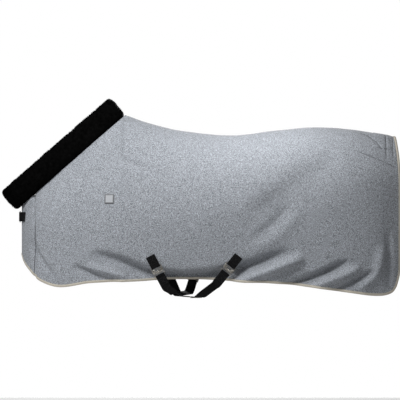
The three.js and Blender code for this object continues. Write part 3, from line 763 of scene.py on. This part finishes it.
def seam_runs(side):
    rows = np.linspace(0.03, 0.99, 120)
    runs = []
    for offset in (-0.0075, 0.0075):
        t = np.full(rows.shape, SEAM_T + offset)
        runs.append((skin(side, t, rows, -0.2 * MM), facing(side, t, rows)))
    runs.append(beside(side, np.linspace(0.01, 0.985, 200), 0.0065))
    runs.append(beside(side, np.linspace(-0.985, -0.01, 120), 0.012))
    return runs


def seam_shadow_runs(side):
    """A dark thread sunk into each sewn seam: painted shadow along the seam line."""
    rows = np.linspace(0.02, 0.99, 160)
    t = np.full(rows.shape, SEAM_T)
    return ([(skin(side, t, rows, 0.3 * MM), facing(side, t, rows))]
            + [run_on(side, line) for line, _, _ in SEAMS[1:]])


def patch_runs(side):
    inset = 0.003 / BACK_LENGTH
    lift = FIT + PATCH_THICK + 0.1 * MM
    rows = np.linspace(0.008, PATCH_DEPTH - 0.004, 40)
    columns = np.linspace(PATCH_FROM + inset, PATCH_TO - inset, 30)
    runs = []
    for t in (PATCH_FROM + inset, 0.9545, PATCH_TO - inset):
        places = np.full(rows.shape, t)
        runs.append((skin(side, places, rows, -lift), facing(side, places, rows)))
    runs.append(beside(side, columns, PATCH_DEPTH - 0.004, lift))
    return runs


def strip(name, side, columns, rows, near, far, material, nodes):
    """A thin tape laid along the panels between two depths."""
    t, v = np.meshgrid(columns, rows, indexing="ij")
    points, faces = slab(skin(side, t, v, near), skin(side, t, v, far))
    lengths = np.meshgrid(np.linspace(0, 0.1, len(columns)), np.linspace(0, 0.25, len(rows)),
                          indexing="ij")
    uv = np.tile(np.stack(lengths, -1).reshape(-1, 2), (2, 1))
    return settle(make_object(name, points, faces, [material], uv=uv), nodes)


TAPE_THICK = 0.0016


def spine_tape():
    """The tape sewn over the spine seam on the inside."""
    t = np.linspace(0.011, 0.989, 240)
    share = 0.0105
    rings = []
    for side, v in ((-1, share), (-1, share / 2), (1, 0.0), (1, share / 2), (1, share)):
        rows = np.full(t.shape, v)
        rings.append((drape(side, t, rows), facing(side, t, rows)))
    upper = [p - n * (CLOTH + 2.2 * MM) for p, n in rings]
    lower = [p - n * (CLOTH + 2.2 * MM + TAPE_THICK) for p, n in reversed(rings)]
    stack = np.stack(upper + lower, 1)
    stack[:, [2, 7], 1] = 0
    across = np.array([-12, -6, 0, 6, 12, 12, 6, 0, -6, -12]) * MM
    points, faces = loft(stack)
    piece = make_object("spine_seam_tape", points, faces, [BINDING],
                        uv=web_map(t * BACK_LENGTH, across))
    settle(piece, ["spine_tape"])


# ---------------------------------------------------------------- the fur collar
COLLAR_WIDTH = 0.121              # the pile stands fuller than the pad inside it
COLLAR_THICK = 0.045
COLLAR_GAP = 0.001
COLLAR_SPLIT = 0.004
COLLAR_PROUD = 0.020              # how far the collar stands past the neckline at the chest
END_PILE = 0.003                  # the two ends stop short so that their pile meets
NECK_LENGTH = math.hypot(CHEST_REACH, NECK_DROP)
NECK_DOWN = np.array([-CHEST_REACH, 0, -NECK_DROP]) / NECK_LENGTH
NECK_UP = np.array([-NECK_DROP, 0, CHEST_REACH]) / NECK_LENGTH
PILE = -0.001                     # how far the collar's core lies inside its CAD solid


def collar_ring(turn, around, inset):
    """A point of the collar's round and its outward direction there."""
    reach = NECK_LENGTH + COLLAR_PROUD
    half = COLLAR_THICK / 2
    centre = (NECK_DOWN * (half + (reach - half) * (1 - math.cos(turn)) / 2)
              + NECK_UP * (COLLAR_WIDTH / 2 + COLLAR_GAP)
              + np.array([0, (NECK_HALF - CLOTH / 2) * math.sin(turn), 0]))
    outward = unit(NECK_DOWN * -math.cos(turn) * NECK_HALF
                   + np.array([0, math.sin(turn) * reach / 2, 0]))
    lobe = lambda value, power: math.copysign(abs(value) ** power, value)
    up = (COLLAR_WIDTH / 2 - inset) * lobe(math.sin(around), 0.72)
    away = (COLLAR_THICK / 2 - inset) * lobe(math.cos(around), 0.72)
    push = unit(NECK_UP * lobe(math.sin(around), 1.2) / COLLAR_WIDTH
                + outward * lobe(math.cos(around), 1.2) / COLLAR_THICK)
    return centre + NECK_UP * up + outward * away, push


def fur_collar():
    """A rolled pad of short curly pile: a lumpy core covered in small tufts."""
    start = (COLLAR_SPLIT / 2 + END_PILE) / NECK_HALF
    turns = np.linspace(-PI + start, PI - start, 420)
    sides = 64
    rings = []
    for turn in turns:
        ring = []
        for k in range(sides):
            point, push = collar_ring(turn, 2 * PI * k / sides, PILE)
            lump = noise.noise(Vector(point * 34)) + 0.6 * noise.noise(Vector(point * 85))
            lump += 1.3 * noise.noise(Vector(point * 15))
            curl = noise.noise(Vector(point * 230))
            ring.append(point + push * (0.0030 * lump + 0.0011 * curl))
        rings.append(ring)
    points, faces = loft(np.array(rings))
    points, faces = points.tolist(), list(faces)
    for _ in range(15000):
        turn = rng.uniform(turns[0], turns[-1])
        root, push = collar_ring(turn, rng.uniform(0, 2 * PI), PILE + 0.002)
        lean = unit(push + rng.normal(0, 0.45, 3))
        side = unit(np.cross(lean, rng.normal(0, 1, 3)))
        other = np.cross(lean, side)
        wide = rng.uniform(0.0009, 0.0017)
        tip = root + lean * rng.uniform(0.0055, 0.0085)
        first = len(points)
        for k in range(3):
            a = 2 * PI * k / 3
            points.append(root + wide * (math.cos(a) * side + math.sin(a) * other))
        points.append(tip)
        faces += [(first, first + 1, first + 3), (first + 1, first + 2, first + 3),
                  (first + 2, first, first + 3), (first + 2, first + 1, first)]
    piece = settle(make_object("fur_collar_roll", points, faces, [FUR]), ["fur_collar"])


# ---------------------------------------------------------------- webbing
WEB_WIDTH = 0.050
WEB_THICK = 0.0022
WEB_DOUBLE = 0.0045
SELVEDGE = 0.0008
TAB_LENGTH = 0.066
LOOP_LENGTH = 0.058
CHEST_TAB = 0.016
CHEST_LOOP = 0.024
PLATE_THICK = 0.003
BAR_DEPTH = 0.005
BAR_CLEARANCE = 0.0004
HOOK_BAR_Y = 0.0475
TILT = 0.07
TAB_Z = -0.748
ANCHOR_Z = -0.760
CORNER_RADIUS = 0.045
LEAD = 0.040
TAB_LIFT = 0.0027
STRAP_LIFT = 0.0036
STRAP_CLEAR = 0.020
BOX_HALF = 0.018                  # half width of a sewn box
SEWN_END = 0.0075                 # where webbing round a bar meets itself
PATCH_LIFT = 0.0007
PATCH_MARGIN = 0.0055
PATCH_END = 0.018
PATCH_LEAD = 0.026
BELLY_HEART = np.array([0, 0, -0.700])
SURCINGLES = [
    {"name": "front", "tab_x": 0.134, "heading": (0.52, 0, -1), "near_x": 0.272, "off_x": 0.340,
     "drop": 0.076, "anchor_x": 0.396, "roll": -0.36},
    {"name": "rear", "tab_x": 0.602, "heading": (-0.8, 0, -1), "near_x": 0.390, "off_x": 0.278,
     "drop": 0.094, "anchor_x": 0.190, "roll": 0.0},
]


class Place:
    """A frame on the cloth: x across the webbing, y along it, z off the cloth."""

    def __init__(self, side, t, v, heading, lift, tilt=0.0):
        normal = facing(side, t, v)
        heading = np.asarray(heading, float)
        ahead = unit(heading - normal * (heading @ normal))
        self.x = unit(np.cross(ahead, normal))
        self.y = ahead * math.cos(tilt) + np.cross(self.x, ahead) * math.sin(tilt)
        self.z = normal * math.cos(tilt) + np.cross(self.x, normal) * math.sin(tilt)
        self.origin = drape(side, t, v) + normal * (lift - chest_step(side, t)[0])

    def at(self, x, y, z):
        x, y, z = (np.asarray(value, float)[..., None] for value in (x, y, z))
        return self.origin + self.x * x + self.y * y + self.z * z


def flat_plate(name, place, x, y, top, material):
    """A thin closed plate on a place, with its upper face at the heights top."""
    points, faces = slab(place.at(x, y, top), place.at(x, y, np.zeros(x.shape)))
    uv = np.tile(np.stack([x, y], -1).reshape(-1, 2), (2, 1))
    return make_object(name, points, faces, [material], uv=uv)


def stitch_lines(place, lines, z):
    """Straight runs of stitches between pairs of (x, y), at height z."""
    outward = np.array([place.z, place.z])
    return [(np.array([place.at(*a, z), place.at(*b, z)]), outward) for a, b in lines]


def webbing(points, outward, width=WEB_WIDTH, thick=WEB_THICK, spacing=0.004):
    """Rings, faces and map of a webbing strap with rounded selvedges along a path."""
    length, path, rise = resample(points, spacing, outward)
    ahead = unit(np.gradient(path, axis=0))
    rise = unit(rise - ahead * dot(rise, ahead))
    sideways = np.cross(ahead, rise)
    half, up = width / 2, thick / 2
    outline = []
    for k in range(9):
        outline.append((half - SELVEDGE - (width - 2 * SELVEDGE) * k / 8, up))
    for a in (0.35, 0.65):
        outline.append((-half + SELVEDGE - SELVEDGE * math.sin(a * PI), up * math.cos(a * PI)))
    outline += [(-x, -z) for x, z in outline]
    rings = np.stack([path + sideways * x + rise * z for x, z in outline], 1)
    points, faces = loft(rings)
    return points, faces, web_map(length, [x + 0.2 * z for x, z in outline])


def around_bar(place, y, direction, length, tail=None):
    """Path and outward directions of webbing from a sewn end, round the bar at y, and back."""
    radius = math.hypot(BAR_DEPTH, PLATE_THICK) / 2 + BAR_CLEARANCE + WEB_THICK / 2
    layer = WEB_DOUBLE / 4 + 0.02 * MM
    start = math.asin(min(1, layer / radius))
    path, outward = [], []
    for share in np.linspace(0, 1, 8):
        reach = (tail or length) * (1 - share) + SEWN_END * share
        path.append(place.at(0, y + direction * reach, layer))
        outward.append(place.z)
    for a in np.linspace(start + 0.55, 2 * PI - start - 0.55, 21):
        path.append(place.at(0, y + direction * radius * math.cos(a), radius * math.sin(a)))
        outward.append(place.y * direction * math.cos(a) + place.z * math.sin(a))
    for share in np.linspace(0, 1, 8):
        reach = SEWN_END * (1 - share) + length * share
        path.append(place.at(0, y + direction * reach, -layer))
        outward.append(-place.z)
    return np.array(path), np.array(outward)


def box_stitches(place, y0, y1, z):
    """A sewn box with a cross in it, on the face at height z."""
    corners = [(-BOX_HALF, y0), (BOX_HALF, y0), (BOX_HALF, y1), (-BOX_HALF, y1)]
    cross = [(corners[0], corners[2]), (corners[1], corners[3])]
    return stitch_lines(place, round_trip(corners) + cross, z)


def join_meshes(parts):
    """Points, faces, map and material numbers of several meshes as one."""
    points, faces, uvs, numbers = [], [], [], []
    for part_points, part_faces, part_uv, number in parts:
        first = len(points)
        points += [list(p) for p in part_points]
        faces += [tuple(i + first for i in face) for face in part_faces]
        if part_uv is None:
            part_uv = np.zeros((len(part_points), 2))
        uvs += [list(c) for c in part_uv]
        numbers += [number] * len(part_faces)
    return points, faces, uvs, numbers


def strap_piece(name, ribbons, runs, slot="webbing"):
    """Webbing and its stitches as one piece."""
    parts = [(*ribbon, 0) for ribbon in ribbons]
    if runs:
        stitches, faces = stitch_mesh(runs, pitch=4 * MM, length=3.2 * MM, radius=0.42 * MM)
        parts.append((stitches, faces, None, 1))
    points, faces, uv, numbers = join_meshes(parts)
    return make_object(name, points, faces, [WEBBING, BLACK_THREAD], numbers, uv)


def bezier(a, b, c, s):
    return a * (1 - s) ** 2 + 2 * b * s * (1 - s) + c * s**2


def strap_route(points, outwards, radius):
    """Straight stretches with rounded corners; each stretch keeps its own outward side."""
    path, out = [points[0]], [outwards[0]]
    for i in range(1, len(points) - 1):
        before, after = points[i - 1] - points[i], points[i + 1] - points[i]
        reach = min(radius, 0.47 * np.linalg.norm(before), 0.47 * np.linalg.norm(after))
        back, on = points[i] + unit(before) * reach, points[i] + unit(after) * reach
        for s in np.linspace(0, 1, 15):
            path.append(bezier(back, points[i], on, s))
            share = smooth(0, 1, s)
            out.append(unit(outwards[i - 1] * (1 - share) + outwards[i] * share))
    path.append(points[-1])
    out.append(outwards[-1])
    return np.array(path), np.array(out)


def hem_side(x):
    return half_width(x) - hem_tuck(x) + STRAP_CLEAR


def passing(side, x, drop):
    return np.array([x, side * hem_side(x), hem_z(x) - drop])


def from_heart(a, b):
    middle = (a + b) / 2 - BELLY_HEART
    middle[0] = 0
    return unit(middle)


def polished(node, name, body):
    """A CAD metal piece with its flat faces merged and its edges rounded over."""
    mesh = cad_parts[node].data.copy()
    whole = bmesh.new()
    whole.from_mesh(mesh)
    bmesh.ops.remove_doubles(whole, verts=whole.verts, dist=1e-5)
    bmesh.ops.dissolve_limit(whole, angle_limit=math.radians(1), verts=whole.verts,
                             edges=whole.edges)
    whole.to_mesh(mesh)
    whole.free()
    piece = bpy.data.objects.new(name, mesh)
    bpy.context.scene.collection.objects.link(piece)
    mesh.materials.clear()
    mesh.materials.append(NICKEL)
    bevel = piece.modifiers.new("edges", "BEVEL")
    bevel.width = 0.55 * MM
    bevel.segments = 3
    bevel.limit_method = "ANGLE"
    bevel.angle_limit = math.radians(40)
    graph = bpy.context.evaluated_depsgraph_get()
    rounded = bpy.data.meshes.new_from_object(piece.evaluated_get(graph))
    piece.modifiers.clear()
    piece.data = rounded
    rounded.polygons.foreach_set("use_smooth", np.ones(len(rounded.polygons), bool))
    rounded.set_sharp_from_angle(angle=math.radians(50))
    return settle(piece, [node], body)


def surcingle(strap):
    """Near tab, strap and off patch of one surcingle."""
    name = strap["name"]
    t = strap["tab_x"] / BACK_LENGTH
    place = Place(-1, t, row_at(t, TAB_Z), strap["heading"], TAB_LIFT, TILT)
    path, outward = around_bar(place, TAB_LENGTH, -1, TAB_LENGTH)
    runs = box_stitches(place, 0.004, 0.046, WEB_DOUBLE / 2 + 0.1 * MM)
    tab = strap_piece(name + "_tab_webbing", [webbing(path, outward)], runs)
    settle(tab, [name + "_near_tab"])

    hook_y = TAB_LENGTH + HOOK_BAR_Y
    end = place.at(0, hook_y + LOOP_LENGTH + FIT, 0)
    anchor_t = strap["anchor_x"] / BACK_LENGTH
    anchor_v = row_at(anchor_t, ANCHOR_Z)
    normal = facing(1, anchor_t, anchor_v)
    anchor = drape(1, anchor_t, anchor_v) + normal * STRAP_LIFT
    near = passing(-1, strap["near_x"], strap["drop"])
    off = passing(1, strap["off_x"], strap["drop"])
    lay = off - anchor
    lay = unit(lay - normal * (lay @ normal)) * LEAD
    points = [end, end + place.y * LEAD / 2, near, off, anchor + lay, anchor]
    under = unit(from_heart(near, off) + np.array([strap["roll"], 0, 0]))
    outwards = [place.z, from_heart(points[1], near), under, from_heart(off, points[4]), normal]
    route, route_out = strap_route(points, outwards, CORNER_RADIUS)
    loop, loop_out = around_bar(place, hook_y, 1, LOOP_LENGTH * 0.72, tail=LOOP_LENGTH)
    whole = np.concatenate([loop, route])
    whole_out = np.concatenate([loop_out, -route_out])
    runs = box_stitches(place, hook_y + 0.017, hook_y + 0.052, WEB_DOUBLE / 2 + 0.1 * MM)
    piece = strap_piece(name + "_belly_strap", [webbing(whole, whole_out)], runs)
    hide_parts(name + "_strap_loop", name + "_surcingle")
    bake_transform(piece)
    off_patch(name, anchor_t, anchor_v, lay, normal)


def off_patch(name, t, v, lay, normal):
    """The reinforcing patch under the strap's sewn end, with its stitches."""
    place = Place(1, t, v, lay, PATCH_LIFT)
    half, back, front = WEB_WIDTH / 2 + PATCH_MARGIN, -PATCH_END, PATCH_LEAD
    xs, ys = np.linspace(-half, half, 33), np.linspace(back, front, 27)
    x, y = np.meshgrid(xs, ys, indexing="ij")
    edge = np.minimum.reduce([x + half, half - x, y - back, front - y])
    top = PATCH_THICK * (0.3 + 0.7 * smooth(0, 0.0022, edge))
    piece = flat_plate(name + "_patch_webbing", place, x, y, top, WEBBING)
    settle(piece, [name + "_off_patch"])
    strap_face = STRAP_LIFT - PATCH_LIFT + WEB_THICK / 2 + 0.1 * MM
    runs = box_stitches(place, -0.001, 0.022, strap_face)
    border = [(-half + 0.003, back + 0.003), (half - 0.003, back + 0.003),
              (half - 0.003, front - 0.003), (-half + 0.003, front - 0.003)]
    runs += stitch_lines(place, round_trip(border), 1.7 * MM)
    stitching(name + "_patch_stitches", runs, BLACK_THREAD, "webbing", pitch=4 * MM,
              length=3.2 * MM, radius=0.42 * MM)


# ---------------------------------------------------------------- the chest closure
CHEST_STRAP_Z = -0.542
CHEST_STRAP_LIFT = 0.0085
CHEST_SEWN_LIFT = 0.0032
CHEST_LEAD = 0.008
NEAR_SEWN = (-0.92, -0.87)
OFF_SEWN = (-0.87, -0.76)


def chest_run(side, start, ahead, outward, stations):
    """From the buckle the webbing bends down to the cloth and follows it to its sewn end."""
    path = [start, start + ahead * CHEST_LEAD]
    out = [outward, outward]
    for t in np.linspace(*stations, 16):
        row = row_at(t, CHEST_STRAP_Z)
        path.append((drape(side, t, row) + facing(side, t, row)
                     * (CHEST_SEWN_LIFT - chest_step(side, t)[..., 0])))
        out.append(facing(side, t, row))
    return np.array(path), np.array(out)


def eased(path, outward, rounds=3):
    """The same path with its corners worn round."""
    for _ in range(rounds):
        _, path, outward = resample(path, 0.006, outward)
        path[1:-1] = (path[:-2] + 2 * path[1:-1] + path[2:]) / 4
        outward[1:-1] = unit(outward[:-2] + 2 * outward[1:-1] + outward[2:])
    return path, outward


def chest_webbing(name, side, middle, y, length, stations):
    """One side of the chest strap: round its bar at y, then along the cloth."""
    loop, loop_out = around_bar(middle, y, side, length * 0.9, tail=length)
    start = middle.at(0, y + side * (length + FIT), 0)
    run, run_out = eased(*chest_run(side, start, side * middle.y, middle.z, stations))
    ribbon = webbing(np.concatenate([loop, run]), np.concatenate([loop_out, -run_out]))
    return strap_piece(name, [ribbon], sewn_box(side, stations))


def chest_closure():
    middle = Place(-1, -1.0, row_at(-1.0, CHEST_STRAP_Z), (0, 1, 0), CHEST_STRAP_LIFT)
    bar_y, hook_y = -HOOK_BAR_Y / 2, HOOK_BAR_Y / 2
    near = chest_webbing("chest_near_webbing", -1, middle, bar_y, CHEST_TAB, NEAR_SEWN)
    settle(near, ["chest_near_tab", "chest_near_strap"])
    off = chest_webbing("chest_off_webbing", 1, middle, hook_y, CHEST_LOOP, OFF_SEWN)
    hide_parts("chest_strap_loop", "chest_off_strap")
    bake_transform(off)
    columns, rows = np.linspace(-1.03, -0.97, 24), np.linspace(0.5, 5 / 6, 50)
    strip("chest_hook_strip", -1, columns, rows, CLOTH + FIT, CLOTH + FIT + TAPE_THICK, VELCRO,
          ["chest_hook_tape"])
    strip("chest_loop_strip", 1, columns, rows, -FIT - TAPE_THICK, -FIT, VELCRO,
          ["chest_loop_tape"])


def sewn_box(side, stations):
    """The stitches that hold a chest strap's end to the cloth."""
    a, b = stations[0] + (stations[1] - stations[0]) * 0.25, stations[1] - 0.004
    lift = CHEST_SEWN_LIFT + WEB_THICK / 2 + 0.1 * MM

    def spot(t, dz):
        row = row_at(t, CHEST_STRAP_Z + dz)
        return drape(side, t, row) + facing(side, t, row) * lift, facing(side, t, row)

    corners = [(a, -BOX_HALF), (b, -BOX_HALF), (b, BOX_HALF), (a, BOX_HALF)]
    runs = []
    for (ta, za), (tb, zb) in round_trip(corners) + [(corners[0], corners[2])]:
        spots = [spot(ta + (tb - ta) * s, za + (zb - za) * s) for s in np.linspace(0, 1, 7)]
        runs.append((np.array([p for p, _ in spots]), np.array([n for _, n in spots])))
    return runs


# ---------------------------------------------------------------- the label
LABEL_THICK = 0.0015
LABEL_X = -0.081
LABEL_Z = -0.447
LABEL_LIFT = 0.0022


def label():
    t = station_at(LABEL_X)
    place = Place(-1, t, row_at(t, LABEL_Z), (0, 0, -1), LABEL_LIFT)
    half = LABEL_SIZE / 2
    spots = np.linspace(-half, half, 41)
    x, y = np.meshgrid(spots, spots, indexing="ij")
    edge = np.minimum(half - np.abs(x), half - np.abs(y))
    groove = 0.5 * MM * np.exp(-((edge - 0.003) / 0.0012) ** 2)
    top = LABEL_THICK * (0.35 + 0.65 * smooth(0, 0.0015, edge)) - groove
    piece = flat_plate("blank_woven_label", place, x, y, top, LABEL)
    settle(piece, ["blank_label"])
    inner = half - 0.003
    corners = [(-inner, -inner), (inner, -inner), (inner, inner), (-inner, inner)]
    runs = stitch_lines(place, round_trip(corners), 1.25 * MM)
    stitches = stitching("label_stitches", runs, GREY_THREAD, "label", pitch=3 * MM,
                         length=2.4 * MM, radius=0.3 * MM)


# ---------------------------------------------------------------- making it all
make_camera()
make_studio()

bpy.ops.mesh.primitive_grid_add(x_subdivisions=8, y_subdivisions=8, size=FLOOR_SIZE,
                                location=(VIEW_CENTRE[0], 0, FLOOR_Z))
floor = bpy.context.object
floor.name = "studio_floor"
floor.data.materials.append(floor_paint())

for label_side, side in (("near", -1), ("off", 1)):
    body = panel(label_side + "_body_cloth", side, COLUMNS, [label_side + "_body_panel"])
    chest = panel(label_side + "_chest_cloth", side, CHEST_COLUMNS, [label_side + "_chest_panel"])
    hem, hem_stitches = binding(label_side + "_hem_binding", side, [label_side + "_edge_binding"])
    patch = tail_patch(label_side + "_tail_patch_cloth", side, [label_side + "_tail_patch"])
    seams = stitching(label_side + "_seam_stitches", seam_runs(side), GREY_THREAD, "fleece")
    # the dark cord in each seam is painted shadow along the seam line
    dark = stitching(label_side + "_seam_shadow_cord", seam_shadow_runs(side), SEAM_SHADOW_THREAD, "fleece",
                     pitch=4 * MM, length=4.4 * MM, radius=1.1 * MM)
    sewn = stitching(label_side + "_patch_stitches", patch_runs(side), GREY_THREAD, "fleece")
    for piece, columns, going in ((body, COLUMNS, [hem, hem_stitches, seams, dark]),
                                  (chest, CHEST_COLUMNS, [])):
        length, depth, area = cloth_area(side, columns)
    top, low = (drape(side, PATCH_FROM, v) for v in (0, PATCH_DEPTH))

spine_tape()
fur_collar()
label()
for strap in SURCINGLES:
    surcingle(strap)
chest_closure()

for body in ("front", "rear", "chest"):
    polished(body + "_slot_plate", body + "_nickel_plate", body + "_fastener")
    polished(body + "_t_hook", body + "_nickel_hook", body + "_fastener")
for body in ("front", "rear"):
    polished(body + "_adjuster", body + "_nickel_adjuster", body + "_adjuster")
